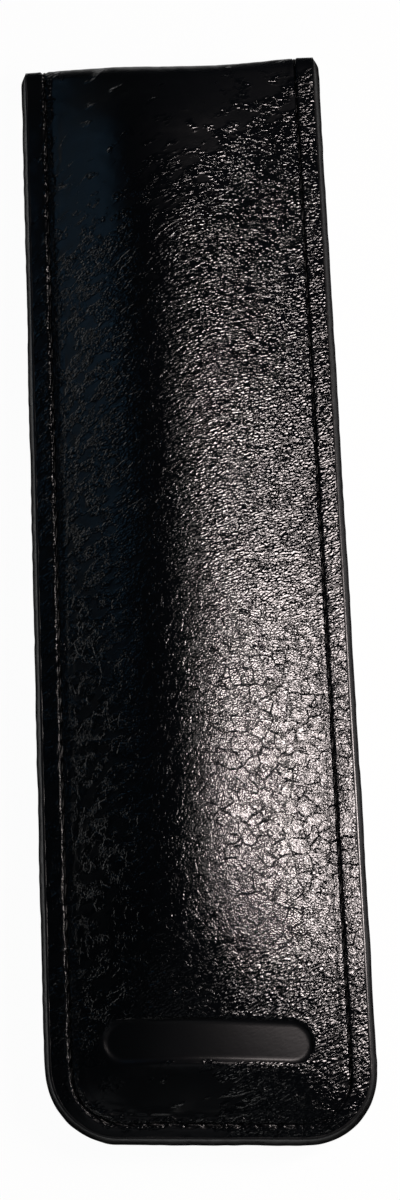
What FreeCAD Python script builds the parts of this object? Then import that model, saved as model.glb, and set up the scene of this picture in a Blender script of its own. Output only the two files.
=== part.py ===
import FreeCAD
import Part
import math
import os

# Leather sleeve for one pen. It lies on its back: X across, Y along with the mouth at +Y, Z up.
# All sizes are in millimetres.

# Outline, with the edge coat and the thread over the mouth edge
body_width = 45.0
body_length = 160.0
bottom_corner_radius = 10.0
mouth_corner_radius = 1.0

# Layers of each side, from the outer face inwards
leather = 0.9
hem_flap = 0.35
interlining = 0.3
lining = 0.4
glue_line = 0.05
edge_coat = 0.5
edge_bevel = 0.3

# Turned edge and lining at the mouth
hem_depth = 10.0
lining_drop = 1.5
hem_to_interlining = 0.3

# Shape of the pocket
front_crown = 8.0
mouth_crown = 5.8
mouth_scoop = 3.65
back_belly = 3.8
rest_trim = 0.1
belly_flat_share = 0.55
seam_to_pocket = 1.0
bottom_fade = 28.0
mouth_fade = 14.0
ridge_share = 0.45
seam_bend_share = 0.18

# Seam
seam_inset = 3.1
stitch_pitch = 2.5
first_hole_drop = 2.2
thread_diameter = 0.5
thread_proud = 0.15
groove_clearance = 0.1
leg_spacing = 0.6
hole_clearance = 0.05

# Recess pressed into the front
recess_length = 28.4
recess_width = 5.7
recess_depth = 0.35
recess_from_bottom = 13.6

# Fineness of the curved sheets
across_step = 1.5
end_step = 2.0
middle_step = 8.0
sheet_overhang = 4.0
tool_height = 40.0

half_width = body_width / 2
half_length = body_length / 2
mouth_y = half_length - thread_proud
thread_radius = thread_diameter / 2
groove_depth = thread_diameter - thread_proud
groove_half = thread_radius + groove_clearance
bend_radius = thread_radius * 1.2

# Depths below the outer face of a side
hem_under = leather + hem_flap
interlining_top = leather + glue_line
interlining_under = interlining_top + interlining
lining_top = max(hem_under, interlining_under) + glue_line
lining_under = lining_top + lining
side_depth = lining_under + glue_line / 2

# Heights of the flat margin around the pocket
back_margin = back_belly
seam_plane = back_margin + side_depth
front_margin = seam_plane + side_depth

pocket_inset = seam_inset + seam_to_pocket
pocket_half = half_width - pocket_inset
pocket_bottom = pocket_inset - half_length


def ease(share):
    """Smooth step from 0 to 1 with level ends."""
    share = min(max(share, 0.0), 1.0)
    return (1 - math.cos(math.pi * share)) / 2


def arch(x):
    """Height of the front across the pocket: round at the ridge, straight flanks, level at the seam."""
    share = min(abs(x) / pocket_half, 1.0)
    bend_start = 1 - seam_bend_share
    ridge_fall = 2 * ridge_share / math.pi
    flank_fall = ridge_fall + bend_start - ridge_share
    bend_fall = 2 * seam_bend_share / math.pi
    if share < ridge_share:
        fall = ridge_fall * (1 - math.cos(math.pi / 2 * share / ridge_share))
    elif share < bend_start:
        fall = ridge_fall + share - ridge_share
    else:
        fall = flank_fall + bend_fall * math.sin(math.pi / 2 * (share - bend_start) / seam_bend_share)
    return 1 - fall / (flank_fall + bend_fall)


def inset_at(x, y):
    """Distance inwards from the outline of the body, with no end at the mouth."""
    over_x = abs(x) - (half_width - bottom_corner_radius)
    over_y = -y - (half_length - bottom_corner_radius)
    outside = math.hypot(max(over_x, 0.0), max(over_y, 0.0))
    return bottom_corner_radius - outside - min(max(over_x, over_y), 0.0)


def bevel(x, y):
    """Thinning of the outer leather from the seam to the cut edge."""
    width = seam_inset - edge_coat
    return edge_bevel * min(max(seam_inset - inset_at(x, y), 0.0) / width, 1.5)


def front_rise(x, y):
    from_bottom = ease((y - pocket_bottom) / bottom_fade)
    to_mouth = ease((y - (mouth_y - mouth_fade)) / mouth_fade)
    height = front_crown + (mouth_crown - front_crown) * to_mouth
    return height * from_bottom * arch(x)


def back_drop(x, y):
    from_bottom = ease((y - pocket_bottom) / (bottom_fade / 2))
    flank = (abs(x) / pocket_half - belly_flat_share) / (1 - belly_flat_share)
    return (back_belly + rest_trim) * from_bottom * (1 - ease(flank))


def slope_stretch(rise, x, y):
    """Vertical thickness of a sloping layer for each unit of its true thickness."""
    step = 0.05
    slope_x = (rise(x + step, y) - rise(x - step, y)) / (2 * step)
    slope_y = (rise(x, y + step) - rise(x, y - step)) / (2 * step)
    return math.sqrt(1 + slope_x**2 + slope_y**2)


def front_height(depth):
    """Height of the front at a depth below its outer face."""

    def height(x, y):
        level = front_margin + front_rise(x, y)
        if depth == 0:
            return level - bevel(x, y)
        return level - depth * slope_stretch(front_rise, x, y)

    return height


def back_height(depth):
    """Height of the back at a depth above its outer face, mirrored so that both sides are built alike."""

    def height(x, y):
        level = back_margin - back_drop(x, y)
        if depth == 0:
            return -(level + bevel(x, y))
        return -(level + depth * slope_stretch(back_drop, x, y))

    return height


def steps(start, end, step):
    """Even places from start up to, but not at, end."""
    count = max(int(math.ceil((end - start) / step)), 1)
    return [start + (end - start) * k / count for k in range(count)]


def pole_places(knots):
    """Places of the poles that make a clamped cubic spline run evenly along its knots."""
    padded = [knots[0]] * 3 + knots + [knots[-1]] * 3
    return [(padded[i + 1] + padded[i + 2] + padded[i + 3]) / 3 for i in range(len(knots) + 2)]


def sheet_knots():
    """Knots across and along, finer along where the pocket rises from the seam and falls to the mouth."""
    side = half_width + sheet_overhang
    end = half_length + sheet_overhang
    low = pocket_bottom + bottom_fade + 2 * end_step
    high = mouth_y - mouth_fade - 2 * end_step
    across = steps(-side, side, across_step) + [side]
    along = steps(-end, low, end_step) + steps(low, high, middle_step)
    along += steps(high, end, end_step) + [end]
    return across, along


def spline_face(height):
    """Smooth sheet with one height above each place."""
    across, along = sheet_knots()
    poles = [[FreeCAD.Vector(x, y, height(x, y)) for y in pole_places(along)] for x in pole_places(across)]
    surface = Part.BSplineSurface()
    surface.buildFromPolesMultsKnots(
        poles,
        [4] + [1] * (len(across) - 2) + [4],
        [4] + [1] * (len(along) - 2) + [4],
        across,
        along,
        False,
        False,
        3,
        3,
    )
    return surface.toShape()


def block_under(height):
    return spline_face(height).extrude(FreeCAD.Vector(0, 0, -tool_height))


def at(x, y, z=0.0):
    return FreeCAD.Vector(x, y, z)


def line(start, end):
    return Part.makeLine(start, end)


def quarter(start, middle, end):
    return Part.Arc(start, middle, end).toShape()


def corner_mid(centre_x, centre_y, radius, degrees):
    turn = math.radians(degrees)
    return at(centre_x + radius * math.cos(turn), centre_y + radius * math.sin(turn))


def three_sides(inset, top):
    """Left side, closed end and right side at an inset from the outline, from mouth to mouth."""
    side = half_width - inset
    end = -half_length + inset
    radius = bottom_corner_radius - inset
    cx = half_width - bottom_corner_radius
    cy = -half_length + bottom_corner_radius
    return [
        line(at(-side, top), at(-side, cy)),
        quarter(at(-side, cy), corner_mid(-cx, cy, radius, 225), at(-cx, end)),
        line(at(-cx, end), at(cx, end)),
        quarter(at(cx, end), corner_mid(cx, cy, radius, 315), at(side, cy)),
        line(at(side, cy), at(side, top)),
    ]


def mouth_curve(drop, scoop):
    """Edge of the mouth across the pocket, from right to left."""
    count = 24
    points = []
    for i in range(count + 1):
        x = pocket_half * (1 - 2 * i / count)
        points.append(at(x, mouth_y - drop - scoop * arch(x)))
    curve = Part.BSplineCurve()
    level = FreeCAD.Vector(-1, 0, 0)
    curve.interpolate(Points=points, InitialTangent=level, FinalTangent=level)
    return curve.toShape()


def panel_outline(inset, drop, scoop, corner):
    """Closed outline of a layer, with its mouth edge a drop below the mouth."""
    side = half_width - inset
    top = mouth_y - drop
    slant = corner * (1 - math.sqrt(0.5))
    edges = three_sides(inset, top - corner)
    edges += [
        quarter(at(side, top - corner), at(side - slant, top - slant), at(side - corner, top)),
        line(at(side - corner, top), at(pocket_half, top)),
        mouth_curve(drop, scoop),
        line(at(-pocket_half, top), at(corner - side, top)),
        quarter(at(corner - side, top), at(slant - side, top - slant), at(-side, top - corner)),
    ]
    return Part.Wire(edges)


def prism(wire):
    base = wire.copy()
    base.translate(at(0, 0, -tool_height))
    return Part.Face(base).extrude(at(0, 0, 2 * tool_height))


def below_mouth(drop, scoop):
    """Block over everything lower than a line that runs a drop below the mouth edge."""
    side = half_width + sheet_overhang
    end = -half_length - sheet_overhang
    top = mouth_y - drop
    edges = [
        line(at(-side, top), at(-side, end)),
        line(at(-side, end), at(side, end)),
        line(at(side, end), at(side, top)),
        line(at(side, top), at(pocket_half, top)),
        mouth_curve(drop, scoop),
        line(at(-pocket_half, top), at(-side, top)),
    ]
    return prism(Part.Wire(edges))


def seam_band(floor):
    """Strip along the seam, as wide as the stitching groove, from its floor up and out over the mouth."""
    top = half_length + sheet_overhang
    outer = three_sides(seam_inset - groove_half, top)
    inner = three_sides(seam_inset + groove_half, top)
    left = half_width - seam_inset
    edges = outer + inner
    edges.append(line(at(-left - groove_half, top), at(-left + groove_half, top)))
    edges.append(line(at(left - groove_half, top), at(left + groove_half, top)))
    base = Part.Wire(Part.__sortEdges__(edges))
    base.translate(at(0, 0, floor))
    return Part.Face(base).extrude(at(0, 0, tool_height))


def recess_prism():
    radius = recess_width / 2
    half = recess_length / 2 - radius
    cy = -half_length + recess_from_bottom
    edges = [
        line(at(-half, cy + radius), at(half, cy + radius)),
        quarter(at(half, cy + radius), at(half + radius, cy), at(half, cy - radius)),
        line(at(half, cy - radius), at(-half, cy - radius)),
        quarter(at(-half, cy - radius), at(-half - radius, cy), at(-half, cy + radius)),
    ]
    return prism(Part.Wire(edges))


def seam_places():
    """Places of the needle holes along the seam, evenly spaced from mouth to mouth."""
    path = Part.Wire(three_sides(seam_inset, mouth_y - first_hole_drop))
    count = int(round(path.Length / stitch_pitch))
    return path.discretize(Number=count + 1)


places = seam_places()


def needle_holes():
    radius = leg_spacing / 2 + thread_radius + hole_clearance
    start = -tool_height
    return [Part.makeCylinder(radius, 2 * tool_height, at(p.x, p.y, start)) for p in places]


def largest(shape):
    if len(shape.Solids) == 1:
        return shape.Solids[0]
    return max(shape.Solids, key=lambda solid: solid.Volume)


def layer(height_at, top_depth, under_depth, outline):
    """One layer of a side between two depths."""
    whole = prism(outline).common(block_under(height_at(top_depth)))
    return whole.cut(block_under(height_at(under_depth)))


def outer_panel(height_at, margin, scoop):
    """Outer leather of a side, doubled where it is turned over at the mouth."""
    outline = panel_outline(edge_coat, 0.0, scoop, mouth_corner_radius)
    panel = layer(height_at, 0.0, hem_under, outline)
    single = block_under(height_at(leather)).common(below_mouth(hem_depth, scoop))
    return panel.cut([single, seam_band(margin - groove_depth)])


def notch_blocks():
    """Notches that seat the thread where it passes over the mouth edge."""
    blocks = []
    for side in (-1, 1):
        centre = side * (half_width - seam_inset)
        corner = at(centre - groove_half, mouth_y - groove_depth, -tool_height)
        blocks.append(Part.makeBox(2 * groove_half, sheet_overhang, 2 * tool_height, corner))
    return blocks


def mirrored(shape):
    """The back is built upside down, then turned over."""
    return shape.mirror(at(0, 0, 0), at(0, 0, 1))


def thread_path(top_run, turn_low, up):
    """Run of one thread along the seam. It dips into each needle hole and turns back there."""
    half_leg = leg_spacing / 2
    edges = []
    bend = bend_radius
    last = len(places) - 1
    previous_leg = None
    for i in range(last):
        start = places[i]
        end = places[i + 1]
        heading = (end - start).normalize()
        turn = heading * half_leg
        leg_in = start + turn
        leg_out = end - turn
        low_in = at(leg_in.x, leg_in.y, turn_low)
        if previous_leg is not None:
            middle = (previous_leg + low_in) * 0.5
            reach = (low_in - previous_leg).Length / 2
            edges.append(quarter(previous_leg, middle - at(0, 0, up * reach), low_in))
        bend_in = at(leg_in.x, leg_in.y, top_run - up * bend)
        run_in = at(leg_in.x, leg_in.y, top_run) + heading * bend
        run_out = at(leg_out.x, leg_out.y, top_run) - heading * bend
        bend_out = at(leg_out.x, leg_out.y, top_run - up * bend)
        low_out = at(leg_out.x, leg_out.y, turn_low)
        share = bend * (1 - math.sqrt(0.5))
        mid_in = bend_in + heading * share + at(0, 0, up * (bend - share))
        mid_out = bend_out - heading * share + at(0, 0, up * (bend - share))
        edges.append(line(low_in, bend_in))
        edges.append(quarter(bend_in, mid_in, run_in))
        edges.append(line(run_in, run_out))
        edges.append(quarter(run_out, mid_out, bend_out))
        edges.append(line(bend_out, low_out))
        previous_leg = low_out
    return Part.Wire(edges)


def tube(path, start, heading):
    profile = Part.Wire([Part.makeCircle(thread_radius, start, heading)])
    return path.makePipeShell([profile], True, False)


def seam_thread(top_run, turn_low, up):
    heading = (places[1] - places[0]).normalize()
    start = places[0] + heading * (leg_spacing / 2)
    start.z = turn_low
    return tube(thread_path(top_run, turn_low, up), start, at(0, 0, up))


def mouth_wrap(end):
    """Closed turn of thread through the end hole and over the mouth edge."""
    hole = places[end]
    inner = hole.y + leg_spacing / 2
    outer = half_length - thread_radius
    low = back_run
    high = front_run
    bend = bend_radius
    slant = bend * (1 - math.sqrt(0.5))
    x = hole.x
    edges = [
        line(at(x, inner, low + bend), at(x, inner, high - bend)),
        quarter(
            at(x, inner, high - bend),
            at(x, inner + slant, high - slant),
            at(x, inner + bend, high),
        ),
        line(at(x, inner + bend, high), at(x, outer - bend, high)),
        quarter(
            at(x, outer - bend, high),
            at(x, outer - slant, high - slant),
            at(x, outer, high - bend),
        ),
        line(at(x, outer, high - bend), at(x, outer, low + bend)),
        quarter(
            at(x, outer, low + bend),
            at(x, outer - slant, low + slant),
            at(x, outer - bend, low),
        ),
        line(at(x, outer - bend, low), at(x, inner + bend, low)),
        quarter(
            at(x, inner + bend, low),
            at(x, inner + slant, low + slant),
            at(x, inner, low + bend),
        ),
    ]
    return tube(Part.Wire(edges), at(x, inner, low + bend), at(0, 0, 1))


def coat_bead():
    """Domed coat along the three cut sides."""
    low = back_margin + edge_bevel
    high = front_margin - edge_bevel
    top = mouth_y - mouth_corner_radius
    side = half_width - edge_coat
    path = Part.Wire(three_sides(edge_coat, top))
    foot = at(-side, top, low)
    head = at(-side, top, high)
    crest = at(-half_width, top, (low + high) / 2)
    profile = Part.Wire([line(foot, head), quarter(head, crest, foot)])
    return path.makePipeShell([profile], True, False)


front_run = front_margin + thread_proud - thread_radius
back_run = back_margin - thread_proud + thread_radius
turn_reach = leg_spacing / 2 + thread_radius + glue_line / 2
holes = needle_holes()
notches = notch_blocks()

# Front side
front = outer_panel(front_height, front_margin, mouth_scoop)
recess = recess_prism().cut(block_under(front_height(recess_depth)))
front_panel = front.cut([recess] + holes + notches)

lining_outline = panel_outline(edge_coat, lining_drop, mouth_scoop, mouth_corner_radius)
board_outline = panel_outline(edge_coat, hem_depth + hem_to_interlining, mouth_scoop, 0.2)
front_interlining = layer(front_height, interlining_top, interlining_under, board_outline).cut(holes)
front_lining = layer(front_height, lining_top, lining_under, lining_outline).cut(holes)

# Back side
straight_lining = panel_outline(edge_coat, lining_drop, 0.0, mouth_corner_radius)
straight_board = panel_outline(edge_coat, hem_depth + hem_to_interlining, 0.0, 0.2)
back = outer_panel(back_height, -back_margin, 0.0)
rest_plane = Part.makeBox(
    body_width, body_length, tool_height, at(-half_width, -half_length, 0)
)
back_panel = mirrored(back.cut([rest_plane] + holes + notches))
back_interlining = mirrored(
    layer(back_height, interlining_top, interlining_under, straight_board).cut(holes)
)
back_lining = mirrored(layer(back_height, lining_top, lining_under, straight_lining).cut(holes))

parts = {
    "front_panel": largest(front_panel),
    "front_interlining": largest(front_interlining),
    "front_lining": largest(front_lining),
    "back_panel": largest(back_panel),
    "back_interlining": largest(back_interlining),
    "back_lining": largest(back_lining),
    "edge_coat": coat_bead(),
    "needle_thread": seam_thread(front_run, seam_plane + turn_reach, 1),
    "bobbin_thread": seam_thread(back_run, seam_plane - turn_reach, -1),
    "mouth_wrap_left": mouth_wrap(0),
    "mouth_wrap_right": mouth_wrap(len(places) - 1),
}

os.makedirs("parts", exist_ok=True)
for name, shape in parts.items():
    shape.exportStep("parts/" + name + ".step")
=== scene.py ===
import math

import bpy
import bmesh
import numpy as np
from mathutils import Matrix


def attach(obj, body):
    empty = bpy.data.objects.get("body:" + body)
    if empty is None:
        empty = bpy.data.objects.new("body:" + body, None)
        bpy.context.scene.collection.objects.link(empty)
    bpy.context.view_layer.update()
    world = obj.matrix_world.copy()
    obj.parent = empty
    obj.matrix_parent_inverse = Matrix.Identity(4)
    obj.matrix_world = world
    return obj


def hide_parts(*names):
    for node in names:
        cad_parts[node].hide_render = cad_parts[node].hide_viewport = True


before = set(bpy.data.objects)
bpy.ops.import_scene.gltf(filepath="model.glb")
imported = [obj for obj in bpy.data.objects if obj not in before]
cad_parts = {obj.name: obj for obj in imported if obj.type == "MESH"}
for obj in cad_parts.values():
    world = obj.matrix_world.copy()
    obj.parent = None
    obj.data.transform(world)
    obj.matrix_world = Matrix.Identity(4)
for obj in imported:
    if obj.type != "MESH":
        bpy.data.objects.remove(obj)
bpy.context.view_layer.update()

# All sizes are in millimetres, and a pair gives the start and the end of a run
MM = 0.001

# Outline, and layers of each side from the outer face inwards
body_width = 45.0
body_length = 160.0
corner_radius = 10.0
mouth_corner = 1.1
mouth_rise = 0.2
leather = 0.9
hem_under = 1.25
interlining_top = 0.95
interlining_under = 1.25
lining_top = 1.3
lining_under = 1.7
side_depth = 1.725
edge_coat = 0.5
hem_depth = 10.0
hem_fade = 0.3
lining_drop = 1.5
board_drop = 10.3

# Crown of the front and belly of the back
front_crown = 8.0
mouth_crown = 5.8
mouth_fade = 14.0
mouth_scoop = 3.3
scoop_run = 30.0
crown_lean = 2.2
ridge_share = 0.75
seam_bend_share = 0.01
end_fall_run = 35.0
end_fall_power = 1.5
end_low = 0.37
foot_run = 7.0
back_belly = 3.8
back_fade = 14.0
rest_trim = 0.1
rest_flat_share = 0.9
belly_flat_share = 0.55
most_stretch = 1.15
slope_step = 0.05

# Closed end, out of square and sagging to the ground
end_skew = 0.0465
end_skew_run = 60.0
end_sag = 2.2
end_sag_run = 30.0
sag_free_height = 1.5

# Margin outside the seam, and lip of the mouth
edge_fall_height = 1.0
back_edge_fall = 0.05
under_fall_share = 0.55
margin_reach = 1.3
margin_soft = 0.25
held_share = 0.15
held_run = (1.0, 10.0)
lip_turn = 2.2
lip_fall = 0.9
lip_margin_share = 0.75
lip_margin_run = (-0.5, 1.5)

# Seam
seam_inset = 3.65
seam_inset_end = 2.5
foot_gap = 0.95
seam_step = 0.24
stitch_pitch = 2.5
first_hole_drop = 2.2
loose_run = (4.0, 18.0)
valley_depth = 0.17
valley_depth_far = 0.27
valley_inner = 0.75
valley_outer = 0.4
valley_outer_far = 0.5
valley_power = 1.15
valley_uneven = 0.15
valley_uneven_far = 0.8
valley_wave = 0.65
slit_depth = 0.28
slit_half = 0.21
slit_floor = 0.06
slit_between_holes = 0.85
slit_pinch = 0.3
pinch_reach = 0.45
wander_tight = 0.3
ripple_start = (0.35, 0.7)
ripple_end = (1.2, 3.4)
ripple_from_mouth = (6.0, 16.0)
ripple_height = 0.02
ripple_height_far = 0.1
ripple_wave = 0.46
ripple_draw = 0.3

# Thread
thread_radius = 0.25
thread_proud = 0.15
thread_sink = 0.6
sewn_radius = 0.21
ply_count = 3
ply_depth = 0.1
ply_turn = 1.5
hole_depth = 1.0
stitch_points = 15
stitch_gap = 0.06
stitch_slant = 0.13
stitch_uneven = 0.05
stitch_square = 5
wrap_sink = 0.5
wrap_bend = 0.32
wrap_hole_rise = 0.3
wrap_mouth_gap = 0.12
wrap_bend_points = 7
wrap_point_gap = 0.12

# Recess pressed into the front
recess_length = 28.4
recess_width = 6.0
recess_depth = 0.4
recess_from_bottom = 13.15
recess_wall = 0.65
recess_level = 0.16
recess_start = -0.5
recess_reach = 2.6
recess_rim = 0.06
recess_rim_at = 0.25
recess_rim_half = 0.45
pressed_slack = 0.7
pressed_pebble = 0.8

# Painted edge
coat_overlap = 0.35
bead_width = 0.8
bead_lift = 0.07
bead_narrow_end = 0.9
bead_end_run = 1.6
bead_end_drop = 0.45
bead_end_close = 0.98
bead_step = 0.4
bead_turn_points = 40
cut_inset = 0.82
lap_places = (1.0, 0.7, 0.35)
lap_sink = 0.15
# Width and slope of each step of the painted rim, from the lap outwards
rim_steps = [(0.04, 15), (0.04, 35)]
rim_steps += [(0.05, 54)] * 4
rim_steps += [(0.2, 60), (0.15, 63), (0.1, 66), (0.05, 70), (0.02, 75)]

# Unevenness: height, wave length and seed of each wave
wander_waves = [(0.06, 2.3, 41), (0.05, 0.9, 42)]
swell_waves = [(0.07, 5.0, 31), (0.05, 1.4, 32)]
pebble_waves = [(0.03, 1.7, 11), (0.018, 0.85, 12)]
# The same for the slack over the pocket, with the slant of each wave
slack_waves = [(0.16, 17.0, 3, (1.0, 0.35, -0.2, 1.0)), (0.06, 6.5, 5, (0.8, 0.5, -0.4, 0.6))]
slack_run = 7.0
valley_seed = 43
ripple_seed = 44
needle_seed = 21
bobbin_seed = 22
noise_cells = 256
noise_shift = (61.7, 113.3)

# Fineness of the meshes
fine_step = 0.32
plain_step = 0.6
wide_step = 1.2
fine_limit = 0.4
band_inset = 6.0
seam_crowding = 0.12
lip_slope_step = 0.6
fine_band_steps = 30
plain_band_steps = 18
fine_roll_steps = 12
plain_roll_steps = 8
inner_every = 8
thread_sides = 15
tiny = 1e-9

half_width = body_width / 2
half_length = body_length / 2
mouth_y = half_length + mouth_rise
seam_plane = back_belly + side_depth
front_margin = seam_plane + side_depth
pocket_half = half_width - seam_inset - foot_gap
pocket_bottom = seam_inset_end + foot_gap - half_length
corner_x = half_width - corner_radius
corner_y = -half_length + corner_radius
seam_start = mouth_y - first_hole_drop
seam_side = seam_start - corner_y
seam_bend = corner_radius - (seam_inset + seam_inset_end) / 2
seam_turn = seam_bend * np.pi / 2
seam_whole = 2 * seam_side + 2 * seam_turn + 2 * corner_x
stitch_count = int(round(seam_whole / stitch_pitch))
real_pitch = seam_whole / stitch_count


# Shape of the two sides


def ease(share):
    share = np.clip(share, 0.0, 1.0)
    return (1 - np.cos(np.pi * share)) / 2


def ramp(low, high, value):
    share = np.clip((value - low) / (high - low), 0.0, 1.0)
    return share * share * (3 - 2 * share)


def between(low, high, share):
    return low + (high - low) * share


def arch(x):
    """Crown across the pocket: a round ridge, straight flanks and a short bend at the seam."""
    share = np.minimum(np.abs(x) / pocket_half, 1.0)
    bend_start = 1 - seam_bend_share
    ridge_fall = 2 * ridge_share / np.pi
    flank_fall = ridge_fall + bend_start - ridge_share
    bend_fall = 2 * seam_bend_share / np.pi
    ridge = ridge_fall * (1 - np.cos(np.pi / 2 * np.minimum(share / ridge_share, 1.0)))
    flank = ridge_fall + share - ridge_share
    past = np.clip((share - bend_start) / seam_bend_share, 0.0, 1.0)
    bend = flank_fall + bend_fall * np.sin(np.pi / 2 * past)
    fall = np.where(share < ridge_share, ridge, np.where(share < bend_start, flank, bend))
    return 1 - fall / (flank_fall + bend_fall)


def inset_at(x, y):
    """Distance inwards from the outline, which has two rounded corners."""
    over_x = np.abs(x) - corner_x
    over_y = corner_y - y
    outside = np.hypot(np.maximum(over_x, 0.0), np.maximum(over_y, 0.0))
    return corner_radius - outside - np.minimum(np.maximum(over_x, over_y), 0.0)


def corner_angle(x, y):
    """0 along the sides and a quarter turn along the closed end."""
    return np.arctan2(np.maximum(corner_y - y, 0.0), np.maximum(np.abs(x) - corner_x, tiny))


def round_corner(x, y):
    """0 along the sides and 1 along the closed end, with an even turn round each corner."""
    return ramp(0.0, np.pi / 2, corner_angle(x, y))


def seam_inset_at(x, y):
    return between(seam_inset, seam_inset_end, round_corner(x, y))


def end_share(y):
    """Share of the crown that is left: a long gentle fall to the closed end, then a blunt foot."""
    from_seam = y - pocket_bottom
    fall = np.clip(1 - from_seam / end_fall_run, 0.0, 1.0) ** end_fall_power
    foot = np.sin(np.pi / 2 * np.clip(from_seam / foot_run, 0.0, 1.0))
    return foot * (1 - (1 - end_low) * fall)


def front_rise(x, y):
    to_mouth = ease((y - (mouth_y - mouth_fade)) / mouth_fade)
    height = between(front_crown, mouth_crown, to_mouth)
    leaned = x + crown_lean * np.clip(1 - (x / pocket_half) ** 2, 0.0, 1.0)
    return height * end_share(y) * arch(leaned)


def back_drop(x, y):
    from_bottom = ease((y - pocket_bottom) / back_fade)
    flank = (np.abs(x) / pocket_half - belly_flat_share) / (1 - belly_flat_share)
    return (back_belly + rest_trim) * from_bottom * (1 - ease(flank))


def stretch(rise, x, y):
    """How much deeper a layer is along Z where its side is steep."""
    slope_x = (rise(x + slope_step, y) - rise(x - slope_step, y)) / (2 * slope_step)
    slope_y = (rise(x, y + slope_step) - rise(x, y - slope_step)) / (2 * slope_step)
    return np.minimum(np.sqrt(1 + slope_x**2 + slope_y**2), most_stretch)


def held_at_mouth(y):
    """The margin keeps its height where the mouth edge is turned."""
    return between(held_share, 1.0, ramp(*held_run, mouth_y - y))


def edge_share(x, y):
    """0 inside the seam and 1 at the cut edge, for the margin that slopes down outwards."""
    margin = seam_inset_at(x, y) - edge_coat
    share = np.clip(1 + (edge_coat - inset_at(x, y)) / margin, 0.0, margin_reach)
    lower = margin / (seam_inset - edge_coat)
    return held_at_mouth(y) * lower * share * share * (1 + margin_soft) / (share + margin_soft)


def lip_drop(x, y):
    """Fall of the front towards its turned mouth edge, less beside the pocket than over it."""
    to_lip = np.clip(1 - (mouth_y - mouth_scoop * arch(x) - y) / lip_turn, 0.0, 1.0)
    share = between(lip_margin_share, 1.0, ramp(*lip_margin_run, inset_at(x, y) - seam_inset))
    return lip_fall * share * to_lip**2


def smoother(share):
    return share**3 * (share * (share * 6 - 15) + 10)


def value_noise(x, y, cell, seed):
    """Smooth noise between -1 and 1."""
    table = np.random.default_rng(seed).random((noise_cells, noise_cells)) * 2 - 1
    u = x / cell + noise_shift[0]
    v = y / cell + noise_shift[1]
    iu = np.floor(u).astype(int)
    iv = np.floor(v).astype(int)
    fu = smoother(u - iu)
    fv = smoother(v - iv)
    left = iu % noise_cells
    right = (iu + 1) % noise_cells
    under = iv % noise_cells
    over = (iv + 1) % noise_cells
    low = table[left, under] * (1 - fu) + table[right, under] * fu
    high = table[left, over] * (1 - fu) + table[right, over] * fu
    return low * (1 - fv) + high * fv


def add_waves(x, y, waves):
    return sum(height * value_noise(x, y, cell, seed) for height, cell, seed in waves)


def seam_length_at(x, y):
    """Distance along the seam from its left end at the mouth, for places near the seam."""
    round_bend = seam_side + seam_bend * corner_angle(x, y)
    along_end = seam_side + seam_turn + corner_x - np.abs(x)
    half = np.where(np.abs(x) > corner_x, round_bend, along_end)
    half = np.where(y >= corner_y, seam_start - y, half)
    return np.where(x < 0, half, seam_whole - half)


def seam_places():
    """Needle holes, from the left end of the seam at the mouth round to its right end."""
    places = []
    for k in range(stitch_count + 1):
        s = seam_whole * k / stitch_count
        mirror = 1
        if s > seam_whole / 2:
            s = seam_whole - s
            mirror = -1
        if s < seam_side:
            place = (-(half_width - seam_inset), seam_start - s)
        elif s < seam_side + seam_turn:
            angle = (s - seam_side) / seam_bend
            bend = corner_radius - between(seam_inset, seam_inset_end, ramp(0.0, math.pi / 2, angle))
            place = (-corner_x - bend * math.cos(angle), corner_y - bend * math.sin(angle))
        else:
            place = (-corner_x + s - seam_side - seam_turn, -half_length + seam_inset_end)
        places.append(np.array([mirror * place[0], place[1]]))
    return places


places = seam_places()


def loose_seam(x):
    """1 where the seam is puckered, on the left and along the closed end, and 0 on the right."""
    return 1 - ramp(*loose_run, x)


def seam_groove(x, y):
    """Valley along the seam with a slit for the thread, pinched at each needle hole."""
    along = seam_length_at(x, y)
    loose = loose_seam(x)
    wander = add_waves(along, 0 * along, wander_waves) * between(wander_tight, 1.0, loose)
    inward = inset_at(x, y) - seam_inset_at(x, y) + wander
    off = np.abs(inward)
    to_hole = np.abs((along / real_pitch + 0.5) % 1.0 - 0.5) * real_pitch
    pinch = np.exp(-((to_hole / pinch_reach) ** 2))
    rough = between(valley_uneven, valley_uneven_far, loose)
    uneven = 1 + rough * value_noise(along, inward, valley_wave, valley_seed)
    half = np.where(inward < 0, between(valley_outer, valley_outer_far, loose), valley_inner)
    deep = between(valley_depth, valley_depth_far, loose)
    valley = deep * uneven * np.clip(1 - off / half, 0.0, 1.0) ** valley_power
    slit = slit_depth * (slit_between_holes + slit_pinch * pinch)
    return valley + slit * (1 - ramp(slit_floor, slit_half, off))


def seam_drop(x, y):
    """Step down from the pocket's foot to the margin, taken in the leather beside the seam."""
    share = 1 + (seam_inset_at(x, y) - inset_at(x, y)) / foot_gap
    return seam_step * held_at_mouth(y) * np.clip(share, 0.0, 1.0)


def seam_ripple(x, y):
    """Small puckers that run along the seam on the pocket side."""
    inward = inset_at(x, y) - seam_inset_at(x, y)
    along = seam_length_at(x, y)
    band = ramp(*ripple_start, inward) * (1 - ramp(*ripple_end, inward))
    band = band * ramp(*ripple_from_mouth, mouth_y - y)
    height = between(ripple_height, ripple_height_far, loose_seam(x))
    return band * height * value_noise(inward, along * ripple_draw, ripple_wave, ripple_seed)


def recess_distance(x, y):
    """Distance outwards from the recess, a slot with round ends."""
    radius = recess_width / 2
    half = recess_length / 2 - radius
    return np.hypot(np.maximum(np.abs(x) - half, 0.0), y + half_length - recess_from_bottom) - radius


def recess_share(x, y):
    return 1 - ramp(-recess_wall, 0.0, recess_distance(x, y))


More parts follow.
